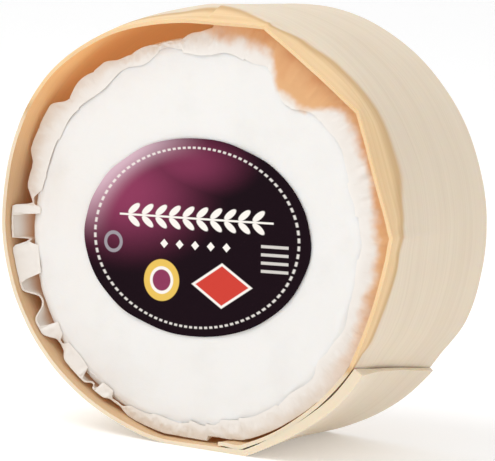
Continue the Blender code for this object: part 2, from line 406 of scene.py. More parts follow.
def veneerBase(name, pale, dark, translucency):
    material, tree, shader = newMaterial(name, veneerLook["surface"])
    figure = useGroup(tree, veneerFigure, Pale=pale, Dark=dark)
    strip = addNode(tree, "ShaderNodeUVMap")
    metres = (stripLength, boxShape["depth"], 1.0)
    tree.links.new(stretched(tree, strip.outputs[0], metres), figure.inputs["Strip"])
    tree.links.new(figure.outputs["Color"], shader.inputs["Base Color"])
    shader.inputs["Subsurface Weight"].default_value = translucency
    addBump(tree, shader, figure.outputs["Height"], 0.5, 0.00012)
    return material, tree, figure


def bentVeneer(name, plain):
    pale = veneerLook[plain + "Pale"]
    dark = veneerLook[plain + "Dark"]
    material, tree, figure = veneerBase(name, pale, dark, veneerLook["translucency"])
    bend = addNode(tree, "ShaderNodeAttribute", attribute_name="bend")
    # painted shade in the bend and painted light on the flattened front, both by how far the strip is bent
    crease = remap(tree, bend.outputs["Fac"], *veneerLook["creaseShadeFade"])
    facet = remap(tree, bend.outputs["Fac"], *veneerLook["facetFade"])
    for socket in ("Pale", "Dark"):
        colour = mixColour(tree, crease, veneerLook[plain + socket], veneerLook["crease" + socket])
        colour = mixColour(tree, facet, colour, veneerLook["facet" + socket])
        tree.links.new(colour, figure.inputs[socket])
    return material


def innerVeneer():
    pale = veneerLook["innerPale"]
    dark = veneerLook["innerDark"]
    material, tree, figure = veneerBase("veneerInside", pale, dark, veneerLook["innerTranslucency"])
    split = addNode(tree, "ShaderNodeSeparateXYZ")
    tree.links.new(objectPlace(tree), split.inputs[0])
    # painted light through the veneer and painted shade: oranger towards the top
    upper = remap(tree, split.outputs["Z"], *veneerLook["topLight"])
    tree.links.new(mixColour(tree, upper, pale, veneerLook["innerTopGlow"]), figure.inputs["Pale"])
    # painted light: the inside glows on the side facing throughSide, as if light came through the veneer
    up = calc(tree, "SUBTRACT", split.outputs["Z"], boxShape["axisHeight"])
    bearing = calc(tree, "ARCTAN2", up, split.outputs["X"])
    facing = calc(tree, "COSINE", calc(tree, "SUBTRACT", bearing, veneerLook["throughSide"]))
    lit = remap(tree, facing, veneerLook["throughFrom"], 1.0)
    through = mixColour(tree, lit, veneerLook["noLight"], veneerLook["paintedThroughGlow"])
    shader = tree.nodes["Principled BSDF"]
    tree.links.new(through, shader.inputs["Emission Color"])
    shader.inputs["Emission Strength"].default_value = 1.0
    return material


def placeStripVertex(turn, behindEdge):
    depth = behindEdge / boxShape["depth"]
    skew = veneerLook["skewFront"] + (veneerLook["skewBack"] - veneerLook["skewFront"]) * depth
    turn -= skew * smoothStep(1.0 - turn / veneerLook["skewReach"])
    radius = stripRadius(turn, behindEdge)
    angle = math.radians(boxShape["seamAngle"] - turn)
    nearEdge = 1.0 - smoothStep(behindEdge / veneerLook["frayReach"])
    ripple = noise.noise(Vector((turn * 0.09, behindEdge * 60.0, 3.0)))
    outward = veneerLook["ripple"] * (ripple - 1.0) * (1.0 - nearEdge * 0.5)
    nearEnd = smoothStep(1.0 - turn / veneerLook["flareTurn"])
    outward += veneerLook["endFlare"] * nearEnd * smoothStep(1.0 - behindEdge / veneerLook["endReach"])
    height = boxShape["axisHeight"] + radius * math.sin(angle)
    aboveFloor = smoothStep(height / veneerLook["floorEase"])
    fray = max(veneerLook["fray"] * nearEdge * noise.noise(Vector((turn * 1.9, 0.0, 7.0))), 0.0)
    return inBox(angle, radius + outward * aboveFloor, frontY + behindEdge + fray)


def stripTurns():
    turns = [0.0]
    for corner, following in zip(rimCorners, rimCorners[1:]):
        span = following[0] - corner[0]
        count = math.ceil(span / veneerLook["columnStep"])
        turns += [corner[0] + span * step / count for step in range(1, count + 1)]
    return turns


def buildStrip():
    turns = stripTurns()
    columns = len(turns) - 1
    rows = veneerLook["rows"]
    strip = addGrid("veneerStrip", columns, rows)
    bends = []
    thicker = strip.vertex_groups.new(name="thicker")
    for vertex in strip.data.vertices:
        turn = turns[round((vertex.co.x + 0.5) * columns)]
        behindEdge = boxShape["depth"] * (vertex.co.y + 0.5) ** veneerLook["rowCrowding"]
        reach = creaseReach(turn)
        fold = max(1.0 - behindEdge / reach, 0.0) if reach > 0.0 else 0.0
        bends.append(fold * smoothStep(reach / veneerLook["creaseEase"]))
        corner = smoothStep(1.0 - turn / veneerLook["endTurn"])
        corner *= smoothStep(1.0 - behindEdge / veneerLook["endReach"])
        thicker.add([vertex.index], corner, "REPLACE")
        vertex.co = placeStripVertex(turn, behindEdge)
    for loop in strip.data.uv_layers.active.data:
        turn = turns[min(round(loop.uv.x * columns), columns)]
        loop.uv = (turn / boxShape["turn"], loop.uv.y ** veneerLook["rowCrowding"])
    bend = strip.data.attributes.new("bend", "FLOAT", "POINT")
    bend.data.foreach_set("value", bends)
    strip.data.update()
    face = strip.data.polygons[len(strip.data.polygons) // 2]
    outward = face.normal.x * face.center.x + face.normal.z * (face.center.z - boxShape["axisHeight"])
    strip.data.materials.append(bentVeneer("veneerOutside", "outer"))
    strip.data.materials.append(innerVeneer())
    strip.data.materials.append(bentVeneer("veneerEdge", "edge"))
    applyModifier(
        strip,
        "SOLIDIFY",
        thickness=veneerLook["endThickness"],
        vertex_group=thicker.name,
        thickness_vertex_group=veneerLook["thickness"] / veneerLook["endThickness"],
        offset=-1.0 if outward > 0.0 else 1.0,
        use_even_offset=True,
        material_offset=1,
        material_offset_rim=2,
    )
    for vertex in strip.data.vertices:
        vertex.co.y = max(vertex.co.y, frontY)
    faceOutward(strip)
    shadeSmooth(strip, 50.0)
    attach(strip, "root")
    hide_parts("veneer_wall")


# board at the back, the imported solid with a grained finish

boardLook = {
    "pale": (0.760, 0.600, 0.420, 1.0),
    "dark": (0.600, 0.430, 0.270, 1.0),
    "surface": {"Roughness": 0.68},
}


def dressBoard():
    material, tree, shader = newMaterial("boardGrain", boardLook["surface"])
    figure = useGroup(tree, veneerFigure, Pale=boardLook["pale"], Dark=boardLook["dark"])
    turned = addNode(tree, "ShaderNodeMapping")
    turned.inputs["Rotation"].default_value = (math.radians(90.0), 0.0, 0.0)
    tree.links.new(objectPlace(tree), turned.inputs["Vector"])
    tree.links.new(turned.outputs[0], figure.inputs["Strip"])
    tree.links.new(figure.outputs["Color"], shader.inputs["Base Color"])
    addBump(tree, shader, figure.outputs["Height"], 0.5, 0.00015)
    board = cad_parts["back_board"]
    for slot in board.material_slots:
        slot.material = material


# light that comes through the veneer tints what lies close to it

glowLook = {
    "towards": math.radians(35.0),
    "facing": (0.12, 0.80),  # cosines between which it grows toward that side
    "notchSide": math.radians(55.0),
    "notchHalf": math.radians(14.0),
    "notchReach": 0.0098,    # how far the tint reaches inward there
    "topSide": math.radians(80.0),
    "topHalf": math.radians(26.0),
    "topReach": 0.0026,
    "nearEdge": 0.0548,
    "fade": 0.0040,
    "side": 0.88,            # strength of the tint there
    "streaksAround": 6.5,    # noise scale per radian
    "streaksOut": 75.0,      # and per metre outward
    "streaks": 0.004,        # metres by which they move the tint's edge
    "patchScale": 210.0,
    "patches": 0.005,
    "pocket": 0.70,          # and in the pockets of the folds
    "pocketDepth": (-0.0252, -0.0180),
}


def makeWarmGlow():
    tree, given, result = newGroup(
        "warmGlow",
        (("Place", "NodeSocketVector"),),
        (("Glow", "NodeSocketFloat"), ("Streak", "NodeSocketFloat")),
    )
    split = addNode(tree, "ShaderNodeSeparateXYZ")
    tree.links.new(given.outputs["Place"], split.inputs[0])
    x = split.outputs["X"]
    up = calc(tree, "SUBTRACT", split.outputs["Z"], boxShape["axisHeight"])
    squares = calc(tree, "ADD", calc(tree, "MULTIPLY", x, x), calc(tree, "MULTIPLY", up, up))
    radius = calc(tree, "SQRT", squares)
    angle = calc(tree, "ARCTAN2", up, x)
    facing = calc(tree, "COSINE", calc(tree, "SUBTRACT", angle, glowLook["towards"]))
    upperRight = remap(tree, facing, *glowLook["facing"])
    patches = noiseAt(tree, given.outputs["Place"], glowLook["patchScale"], 2.0, 0.5)
    patches = calc(tree, "MULTIPLY", calc(tree, "SUBTRACT", patches, 0.5), glowLook["patches"])
    reach = calc(tree, "ADD", radius, patches)
    for place in ("notch", "top"):
        aside = calc(tree, "COSINE", calc(tree, "SUBTRACT", angle, glowLook[place + "Side"]))
        half = glowLook[place + "Half"]
        inside = remap(tree, aside, math.cos(half), math.cos(half * 0.12))
        reach = calc(tree, "ADD", reach, calc(tree, "MULTIPLY", inside, glowLook[place + "Reach"]))
    polar = addNode(tree, "ShaderNodeCombineXYZ")
    tree.links.new(calc(tree, "MULTIPLY", angle, glowLook["streaksAround"]), polar.inputs["X"])
    tree.links.new(calc(tree, "MULTIPLY", radius, glowLook["streaksOut"]), polar.inputs["Y"])
    streaks = noiseAt(tree, polar.outputs[0], 1.0, 2.0, 0.45)
    tree.links.new(remap(tree, streaks, 0.42, 0.66), result.inputs["Streak"])
    uneven = calc(tree, "MULTIPLY", calc(tree, "SUBTRACT", streaks, 0.5), glowLook["streaks"])
    reach = calc(tree, "ADD", reach, uneven)
    near = remap(tree, reach, glowLook["nearEdge"], glowLook["nearEdge"] + glowLook["fade"])
    deep = remap(tree, split.outputs["Y"], *glowLook["pocketDepth"])
    side = calc(tree, "MULTIPLY", calc(tree, "MULTIPLY", upperRight, near), glowLook["side"])
    pocket = calc(tree, "MULTIPLY", deep, glowLook["pocket"])
    tree.links.new(calc(tree, "MAXIMUM", side, pocket), result.inputs["Glow"])
    return tree


warmGlow = makeWarmGlow()


# cheese

cheeseShape = {
    "radius": 0.0561,
    "x": -0.0008,
    "drop": 0.0026,
    "backY": 0.0266,
    "faceY": -0.0256,
    "turn": math.tan(math.radians(1.5)),
    "room": 0.0015,
    "roomSpread": math.radians(5.5),
    "shoulder": 0.0045,
    "shoulderLean": 0.80,
    "backShoulder": 0.0085,
    "sideWave": 0.0004,
    "faceWave": 0.00022,
    "segments": 320,
    "rings": 150,
    "rows": (0.46, 0.60, 0.76, 0.86),  # shares of the rings up to face, shoulder, side and back shoulder
    "relief": 0.00030,
}
cheeseLook = {
    "white": (0.778, 0.763, 0.740, 1.0),
    "shade": (0.690, 0.668, 0.632, 1.0),
    "glow": (0.760, 0.370, 0.110, 1.0),
    "surface": {
        "Roughness": 0.85,
        "Specular IOR Level": 0.15,
        "Subsurface Weight": 0.35,
        "Subsurface Radius": (1.0, 0.8, 0.6),
        "Subsurface Scale": 0.0025,
        "Sheen Weight": 0.15,
        "Sheen Roughness": 0.6,
    },
}


def faceLift(x, height):
    rolling = math.sin(x * 95.0 + 0.7) + math.sin(height * 120.0 + x * 40.0)
    return cheeseShape["turn"] * x + cheeseShape["faceWave"] * rolling


def cheeseRadius(angle):
    along = cheeseShape["x"] * math.cos(angle) - cheeseShape["drop"] * math.sin(angle)
    across = -cheeseShape["x"] * math.sin(angle) - cheeseShape["drop"] * math.cos(angle)
    wave = math.sin(2.0 * angle + 0.6) + 0.6 * math.sin(5.0 * angle) + 0.4 * math.sin(9.0 * angle + 2.0)
    side = cheeseShape["radius"] + cheeseShape["sideWave"] * wave
    drum = along + math.sqrt(side * side - across * across)
    spread = cheeseShape["roomSpread"]
    depth = cheeseShape["faceY"] + cheeseShape["shoulder"]
    room = min(roomRadius(near, depth) for near in (angle - spread, angle, angle + spread))
    return min(drum, room - cheeseShape["room"])


def cheeseSide(angle, y):
    shoulder = cheeseShape["shoulder"]
    inward = (cheeseShape["faceY"] + shoulder - y) / shoulder
    inward = min(max(inward, 0.0), cheeseShape["shoulderLean"])
    return cheeseRadius(angle) - shoulder * (1.0 - math.sqrt(1.0 - inward * inward))


def cheeseProfile(share):
    radius = cheeseShape["radius"]
    front = cheeseShape["faceY"]
    back = cheeseShape["backY"]
    shoulder = cheeseShape["shoulder"]
    backShoulder = cheeseShape["backShoulder"]
    faceEnd, shoulderEnd, sideEnd, backEnd = cheeseShape["rows"]
    if share < faceEnd:
        return (radius - shoulder) * share / faceEnd, front
    if share < shoulderEnd:
        bend = math.pi / 2 * (share - faceEnd) / (shoulderEnd - faceEnd)
        return radius - shoulder * (1.0 - math.sin(bend)), front + shoulder * (1.0 - math.cos(bend))
    if share < sideEnd:
        along = (share - shoulderEnd) / (sideEnd - shoulderEnd)
        return radius, front + shoulder + (back - backShoulder - front - shoulder) * along
    if share < backEnd:
        bend = math.pi / 2 * (share - sideEnd) / (backEnd - sideEnd)
        return radius - backShoulder * (1.0 - math.cos(bend)), back - backShoulder * (1.0 - math.sin(bend))
    return (radius - backShoulder) * (1.0 - share) / (1.0 - backEnd), back


def within(degrees, middle, half, ease):
    aside = abs((degrees - middle + 180.0) % 360.0 - 180.0)
    return smoothStep((half - aside) / ease)


def rindRelief(x, height, y, rim):
    point = Vector((x, y, height))
    soft = noise.noise(point * 75.0)
    crinkle = noise.noise(point * 260.0 + Vector((5.0, 0.0, 1.0)))
    grain = noise.noise(point * 700.0)
    return cheeseShape["relief"] * (0.9 * soft + (0.18 + 0.75 * rim) * crinkle + 0.14 * grain - 0.5)


def makeRindMaterial():
    tree, given, result = newGroup(
        "rindBloom",
        (("Place", "NodeSocketVector"), ("White", "NodeSocketColor"), ("Shade", "NodeSocketColor")),
        (("Color", "NodeSocketColor"), ("Height", "NodeSocketFloat")),
    )
    place = given.outputs["Place"]
    patches = noiseAt(tree, place, 60.0, 4.0, 0.55)
    specks = noiseAt(tree, place, 900.0, 3.0, 0.6)
    down = noiseAt(tree, place, 2600.0, 2.0, 0.6)
    share = calc(tree, "MULTIPLY", remap(tree, patches, 0.48, 0.78), 0.35)
    dots = calc(tree, "MULTIPLY", remap(tree, specks, 0.6, 0.8), 0.10)
    share = calc(tree, "ADD", share, dots, clamp=True)
    colour = mixColour(tree, share, given.outputs["White"], given.outputs["Shade"])
    tree.links.new(colour, result.inputs["Color"])
    height = calc(tree, "ADD", calc(tree, "MULTIPLY", specks, 0.6), calc(tree, "MULTIPLY", down, 0.5))
    tree.links.new(height, result.inputs["Height"])

    material, surface, shader = newMaterial("whiteRind", cheeseLook["surface"])
    bloom = placedGroup(surface, tree, White=cheeseLook["white"], Shade=cheeseLook["shade"])
    glow = placedGroup(surface, warmGlow)
    colour = mixColour(surface, glow.outputs["Glow"], bloom.outputs["Color"], cheeseLook["glow"])
    surface.links.new(colour, shader.inputs["Base Color"])
    addBump(surface, shader, bloom.outputs["Height"], 0.35, 0.0002)
    return material


def buildCheese():
    deselectAll()
    bpy.ops.mesh.primitive_uv_sphere_add(
        segments=cheeseShape["segments"],
        ring_count=cheeseShape["rings"],
        radius=1.0,
    )
    cheese = renameActive("softCheese")
    sides = {}
    for vertex in cheese.data.vertices:
        angle = math.atan2(vertex.co.y, vertex.co.x)
        share = math.acos(min(max(vertex.co.z, -1.0), 1.0)) / math.pi
        radius, y = cheeseProfile(share)
        key = round(angle, 5)
        if key not in sides:
            sides[key] = cheeseRadius(angle) / cheeseShape["radius"]
        radius *= sides[key]
        x = radius * math.cos(angle)
        height = radius * math.sin(angle)
        depth = (cheeseShape["backY"] - y) / (cheeseShape["backY"] - cheeseShape["faceY"])
        y -= smoothStep(depth) * faceLift(x, height)
        rim = smoothStep((share - 0.38) / 0.1) * (1.0 - smoothStep((share - 0.62) / 0.1))
        relief = rindRelief(x, height, y, rim)
        if share < 0.5:
            y -= relief
        elif share < 0.8:
            x += relief * math.cos(angle)
            height += relief * math.sin(angle)
        vertex.co = (x, y, boxShape["axisHeight"] + height)
    faceOutward(cheese)
    shadeSmooth(cheese, 80.0)
    cheese.data.materials.append(makeRindMaterial())
    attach(cheese, "root")
    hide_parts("cheese")


# label

labelShape = {
    "halfWidth": 0.0372,
    "halfHeight": 0.0279,
    "x": -0.0005,
    "drop": 0.0027,
    "roll": math.radians(3.2),
    "thickness": 0.0002,
    "lift": 0.00035,
    "edgeWave": 0.012,
    "edgeWaves": 3.5,
    "columns": 150,
    "rows": 112,
    "uvSpan": 0.1,           # metres across one unit of the label's UV
}
labelLook = {
    "field": (0.009, 0.003, 0.006, 1.0),
    "plum": (0.235, 0.038, 0.094, 1.0),
    "haze": (0.620, 0.430, 0.500, 1.0),
    "cream": (0.830, 0.790, 0.740, 1.0),
    "red": (0.560, 0.050, 0.035, 1.0),
    "ochre": (0.720, 0.480, 0.100, 1.0),
    "grey": (0.300, 0.270, 0.300, 1.0),
    "surface": {"Roughness": 0.55, "Specular IOR Level": 0.04},
}
# the print's places and half sizes, in millimetres from the label's centre
labelArt = {
    "glow": ((-24.0, 12.0), (34.0, 23.0)),
    "topGlow": ((-4.0, 21.0), (27.0, 12.0)),
    "haze": ((-30.0, 22.0), (34.0, 26.0)),
    "dashRing": 0.905,       # share of the way to the edge
    "dashes": 96.0,
    "sprigHeight": 5.4,
    "sprigHalf": 23.0,
    "stemHalf": 25.5,
    "leafStep": 4.6,
    "leaf": (2.3, 0.95),
    "beadHeight": -2.2,
    "beadsHalf": 13.2,
    "beadStep": 5.2,
    "bead": 1.3,
    "lozengePlace": (9.0, -13.0),
    "lozenge": (10.0, 6.4),
    "discPlace": (-11.0, -12.6),
    "discRings": ((5.9, "ochre"), (3.9, "cream"), (3.0, "plum")),
    "ringPlace": (-27.5, -2.6),
    "ring": 2.6,
    "barsPlace": (26.0, -4.6),
    "bars": (4.4, 4.6),
    "barStep": 2.3,
}


def ellipseField(tree, x, y, centre, halves):
    across = calc(tree, "DIVIDE", calc(tree, "SUBTRACT", x, centre[0]), halves[0])
    upward = calc(tree, "DIVIDE", calc(tree, "SUBTRACT", y, centre[1]), halves[1])
    across = calc(tree, "MULTIPLY", across, across)
    upward = calc(tree, "MULTIPLY", upward, upward)
    return calc(tree, "SQRT", calc(tree, "ADD", across, upward))


def below(tree, value, limit, blur):
    return remap(tree, value, limit - blur, limit + blur, 1.0, 0.0)


def away(tree, value, middle):
    return calc(tree, "ABSOLUTE", calc(tree, "SUBTRACT", value, middle))


def repeated(tree, value, step, shift=0.0):
    cell = calc(tree, "FRACT", calc(tree, "ADD", calc(tree, "DIVIDE", value, step), shift))
    return calc(tree, "MULTIPLY", calc(tree, "SUBTRACT", cell, 0.5), step)


def both(tree, first, second):
    return calc(tree, "MULTIPLY", first, second)


def makeLabelPrint():
    tree, given, result = newGroup(
        "labelPrint",
        (("Sheet", "NodeSocketVector"),),
        (("Color", "NodeSocketColor"),),
    )
    split = addNode(tree, "ShaderNodeSeparateXYZ")
    tree.links.new(given.outputs["Sheet"], split.inputs[0])
    x = split.outputs["X"]   # millimetres from the label's centre
    y = split.outputs["Y"]
    halfWidth = labelShape["halfWidth"] * 1000.0
    halfHeight = labelShape["halfHeight"] * 1000.0
    oval = ellipseField(tree, x, y, (0.0, 0.0), (halfWidth, halfHeight))
    glow = remap(tree, ellipseField(tree, x, y, *labelArt["glow"]), 0.05, 1.05, 1.0, 0.0)
    topGlow = remap(tree, ellipseField(tree, x, y, *labelArt["topGlow"]), 0.1, 1.0, 0.75, 0.0)
    colour = mixColour(tree, calc(tree, "MAXIMUM", glow, topGlow), labelLook["field"], labelLook["plum"])
    hazeSide = remap(tree, ellipseField(tree, x, y, *labelArt["haze"]), 0.15, 1.05, 1.0, 0.0)
    hazeEdge = remap(tree, oval, 0.74, 1.02)
    colour = mixColour(tree, both(tree, hazeSide, hazeEdge), colour, labelLook["haze"])

    # dashes along the edge
    ring = away(tree, oval, labelArt["dashRing"])
    bearing = calc(tree, "ARCTAN2", y, x)
    beat = calc(tree, "FRACT", calc(tree, "MULTIPLY", bearing, labelArt["dashes"] / math.tau))
    dash = below(tree, away(tree, beat, 0.5), 0.30, 0.06)
    ringMask = both(tree, below(tree, ring, 0.011, 0.006), dash)
    colour = mixColour(tree, calc(tree, "MULTIPLY", ringMask, 0.8), colour, labelLook["cream"])

    # sprig of leaves across the middle
    side = calc(tree, "ABSOLUTE", x)
    offStem = away(tree, y, labelArt["sprigHeight"])
    cellX = repeated(tree, x, labelArt["leafStep"])
    folded = calc(tree, "SUBTRACT", offStem, 1.75)
    leafX = calc(tree, "ADD", both(tree, cellX, 0.80), both(tree, folded, 0.60))
    leafY = calc(tree, "SUBTRACT", both(tree, folded, 0.80), both(tree, cellX, 0.60))
    leaf = ellipseField(tree, leafX, leafY, (0.0, 0.0), labelArt["leaf"])
    leaves = both(tree, below(tree, leaf, 1.0, 0.12), below(tree, side, labelArt["sprigHalf"], 0.1))
    stem = both(tree, below(tree, offStem, 0.28, 0.08), below(tree, side, labelArt["stemHalf"], 0.2))
    colour = mixColour(tree, calc(tree, "MAXIMUM", leaves, stem), colour, labelLook["cream"])

    # row of small diamonds under it
    bead = calc(tree, "ABSOLUTE", repeated(tree, x, labelArt["beadStep"], 0.5))
    diamond = calc(tree, "ADD", bead, away(tree, y, labelArt["beadHeight"]))
    diamond = below(tree, diamond, labelArt["bead"], 0.12)
    diamonds = both(tree, diamond, below(tree, side, labelArt["beadsHalf"], 0.1))
    colour = mixColour(tree, diamonds, colour, labelLook["cream"])

    # red lozenge, lower right of the middle
    lozengeX = calc(tree, "DIVIDE", away(tree, x, labelArt["lozengePlace"][0]), labelArt["lozenge"][0])
    lozengeY = calc(tree, "DIVIDE", away(tree, y, labelArt["lozengePlace"][1]), labelArt["lozenge"][1])
    lozenge = calc(tree, "ADD", lozengeX, lozengeY)
    colour = mixColour(tree, below(tree, lozenge, 1.0, 0.03), colour, labelLook["cream"])
    colour = mixColour(tree, below(tree, lozenge, 0.87, 0.03), colour, labelLook["red"])

    # ochre disc with a pale ring, lower left of the middle
    disc = ellipseField(tree, x, y, labelArt["discPlace"], (1.0, 1.0))
    for radius, tone in labelArt["discRings"]:
        colour = mixColour(tree, below(tree, disc, radius, 0.15), colour, labelLook[tone])

    # grey ring at the left end and short bars at the right end
    spot = ellipseField(tree, x, y, labelArt["ringPlace"], (1.0, 1.0))
    band = away(tree, spot, labelArt["ring"])
    colour = mixColour(tree, below(tree, band, 0.5, 0.12), colour, labelLook["grey"])
    barX = below(tree, away(tree, x, labelArt["barsPlace"][0]), labelArt["bars"][0], 0.1)
    barY = below(tree, away(tree, y, labelArt["barsPlace"][1]), labelArt["bars"][1], 0.05)
    bar = calc(tree, "ABSOLUTE", repeated(tree, y, labelArt["barStep"]))
    barRows = both(tree, below(tree, bar, 0.42, 0.1), barY)
    colour = mixColour(tree, both(tree, both(tree, barRows, barX), 0.7), colour, labelLook["cream"])
    tree.links.new(colour, result.inputs["Color"])
    return tree


def makeLabelMaterial():
    material, tree, shader = newMaterial("labelPaper", labelLook["surface"])
    sheet = addNode(tree, "ShaderNodeUVMap")
    scale = labelShape["uvSpan"] * 1000.0
    place = addNode(tree, "ShaderNodeMapping")
    setInputs(place, {"Scale": (scale, scale, 1.0), "Location": (-scale / 2, -scale / 2, 0.0)})
    tree.links.new(sheet.outputs[0], place.inputs["Vector"])
    ink = useGroup(tree, makeLabelPrint())
    tree.links.new(place.outputs[0], ink.inputs["Sheet"])
    tree.links.new(ink.outputs["Color"], shader.inputs["Base Color"])
    fibre = noiseAt(tree, place.outputs[0], 1.6, 3.0, 0.6)
    addBump(tree, shader, fibre, 0.12, 0.0002)
    return material


def buildLabel():
    label = addGrid("ovalLabel", labelShape["columns"], labelShape["rows"])
    cosine = math.cos(labelShape["roll"])
    sine = math.sin(labelShape["roll"])
    spots = []
    for vertex in label.data.vertices:
        u = vertex.co.x * 2.0
        v = vertex.co.y * 2.0
        across = u * math.sqrt(max(1.0 - v * v / 2.0, 0.0))
        upward = v * math.sqrt(max(1.0 - u * u / 2.0, 0.0))
        angle = math.atan2(upward, across)
        reach = math.hypot(across, upward)
        around = Vector((math.cos(angle), math.sin(angle), 0.0)) * labelShape["edgeWaves"]
        edge = 1.0 + labelShape["edgeWave"] * noise.noise(around) * reach
        across *= labelShape["halfWidth"] * edge
        upward *= labelShape["halfHeight"] * edge
        spots.append((across, upward))
        x = labelShape["x"] + across * cosine - upward * sine
        height = -labelShape["drop"] + across * sine + upward * cosine
        y = cheeseShape["faceY"] - faceLift(x, height) - labelShape["lift"]
        vertex.co = (x, y, boxShape["axisHeight"] + height)
    layer = label.data.uv_layers.active.data
    span = labelShape["uvSpan"]
    for loop in label.data.loops:
        across, upward = spots[loop.vertex_index]
        layer[loop.index].uv = (0.5 + across / span, 0.5 + upward / span)
    label.data.update()
    forward = label.data.polygons[0].normal.y < 0.0
    label.data.materials.append(makeLabelMaterial())
    applyModifier(label, "SOLIDIFY", thickness=labelShape["thickness"], offset=-1.0 if forward else 1.0)
    faceOutward(label)
    shadeSmooth(label)
    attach(label, "root")
    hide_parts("label")


# pleated paper

paperShape = {
    "thickness": 0.00012,
    "smallPleats": 26,
    "columnsPerPleat": 26,
    "rows": 50,
    "room": 0.00032,
    "wallRoom": 0.00045,
    "backY": 0.02725,
    "sideY": 0.0245,
    "foldY": -0.0150,        # the big folds leave the cheese here
    "flareY": -0.0195,       # and the rest here
    "turnOver": 0.42,        # share of the way to the edge at which the paper turns over
    "turnInside": 0.003,     # the face's height for the turn is taken this far inside its rim
    "lipBehind": 0.0007,     # the turn lies this far behind the face
    "lipAbove": 0.00017,     # and the edge this far above it
    "lipWidth": 0.0034,      # over the rim of the cheese
    "lipWave": 0.0024,
    "hem": 0.0006,
    "foldFront": -0.0272,
    "foldBack": 0.99,        # share of a fold by which it is back at the cheese
    "flapEase": (0.10, 0.07),
    "leastReach": 0.03,
    "foldsEase": 5.0,        # degrees over which the big folds pass into the plain paper
    "wrinkle": 0.00040,
    "ripple": 0.10,
    "crumple": 0.00022,
}
paperLook = {
    "white": (0.755, 0.735, 0.705, 1.0),
    "cloudy": (0.695, 0.665, 0.620, 1.0),
    "glow": (0.610, 0.310, 0.105, 1.0),
    "glowStreak": (0.560, 0.230, 0.055, 1.0),
    # painted light: the paper glows a little, and warmer where light comes through the veneer
    "paintedGlowWhite": (0.082, 0.058, 0.034, 1.0),
    "paintedGlowWarm": (0.105, 0.036, 0.008, 1.0),
    "surface": {
        "Roughness": 0.5,
        "Emission Strength": 1.0,
        "Specular IOR Level": 0.3,
        "Subsurface Weight": 0.3,
        "Subsurface Radius": (1.0, 0.95, 0.9),
        "Subsurface Scale": 0.0008,
    },
}
# rows of the cup from the middle of its back: share of the rows, radius there or None on the side
paperStations = (
    (0.0, 0.0005),
    (0.12, 0.0525),
    (0.16, None),
    (0.30, None),
    (1.0, None),
)
# how far the plain paper stands out: degrees, reach from the cheese (0) to the veneer (1)
lipReach = (
    (-114.0, 0.90),
    (84.0, 0.90),
    (96.0, 0.35),
    (104.0, 0.05),
    (124.0, 0.05),
    (130.0, 0.30),
    (139.0, 0.42),
    (146.0, 0.28),
    (151.0, 0.72),
    (164.0, 0.85),
    (168.0, 0.52),
    (179.0, 0.50),
    (180.0, 0.50),
)
# big folds at the left, from their upper ends: degrees, share by which the fold reaches the veneer and
# from which it comes back, reach, share from which and up to which a flap closes it
bigFolds = (
    (179.0, 0.10, 0.93, 0.96, 0.00, 0.34),
    (189.5, 0.10, 0.74, 1.00, 0.02, 0.64),
    (207.5, 0.38, 0.62, 0.95, 0.50, 0.93),
    (221.5, 0.34, 0.90, 0.62, 0.00, 0.80),
    (236.5, 0.15, 0.50, 0.55, 0.20, 0.80),
)
bigFoldsEnd = 246.0
# places where the lip reaches further in: degrees, half width, how much further
lipTongues = ((57.0, 13.0, 0.0050), (18.0, 7.0, 0.0016), (92.0, 8.0, 0.0012), (-38.0, 5.0, 0.0012))


def chance(index, seed):
    return noise.noise(Vector((index * 1.37 + 0.31, seed * 5.1 + 0.17, 0.5)))


def makePleats():
    pleats = list(bigFolds)
    rest = bigFolds[0][0] + 360.0 - bigFoldsEnd
    count = paperShape["smallPleats"]
    for index in range(count):
        shift = 0.35 * chance(index, 1.0) if index else 0.0
        pleats.append((bigFoldsEnd + rest * (index + shift) / count,))
    return pleats + [(bigFolds[0][0] + 360.0,)]


pleatStarts = makePleats()


def plainReach(degrees):
    degrees = (degrees + 180.0) % 360.0 - 180.0
    for start, end in zip(lipReach, lipReach[1:]):
        if degrees <= end[0]:
            break
    return start[1] + (end[1] - start[1]) * smoothStep((degrees - start[0]) / (end[0] - start[0]))


def cheeseFront(angle, radius):
    shoulder = cheeseShape["shoulder"]
    inward = (radius - cheeseRadius(angle) + shoulder) / shoulder
    inward = min(max(inward, 0.0), cheeseShape["shoulderLean"])
    behind = shoulder * (1.0 - math.sqrt(1.0 - inward * inward))
    return cheeseShape["faceY"] + behind - faceLift(radius * math.cos(angle), radius * math.sin(angle))


def foldState(index, cell):
    outBy, inFrom, most, flapFrom, flapTo = pleatStarts[index][1:]
    back = smoothStep((cell - inFrom) / (paperShape["foldBack"] - inFrom))
    reach = most * smoothStep(cell / outBy) * (1.0 - back)
    opening, closing = paperShape["flapEase"]
    flap = smoothStep((cell - flapFrom) / opening + 0.1) * smoothStep((flapTo - cell) / closing)
    return paperShape["leastReach"] + (1.0 - paperShape["leastReach"]) * reach, flap


def plainState(index, cell, even):
    ripple = math.sqrt(max(math.sin(math.pi * cell), 0.0)) * (0.5 + 1.6 * chance(index, 3.0))
    reach = plainReach(even) + paperShape["ripple"] * (ripple - 0.5)
    middle = (bigFolds[0][0] + bigFoldsEnd) / 2
    half = bigFoldsEnd - middle + paperShape["foldsEase"]
    atFolds = within(even, middle, half, paperShape["foldsEase"])
    least = paperShape["leastReach"]
    return least + (reach - least) * (1.0 - atFolds), 1.0 - atFolds


def ringNoise(angle, scale, depth):
    return noise.noise(Vector((math.cos(angle) * scale, math.sin(angle) * scale, depth)))


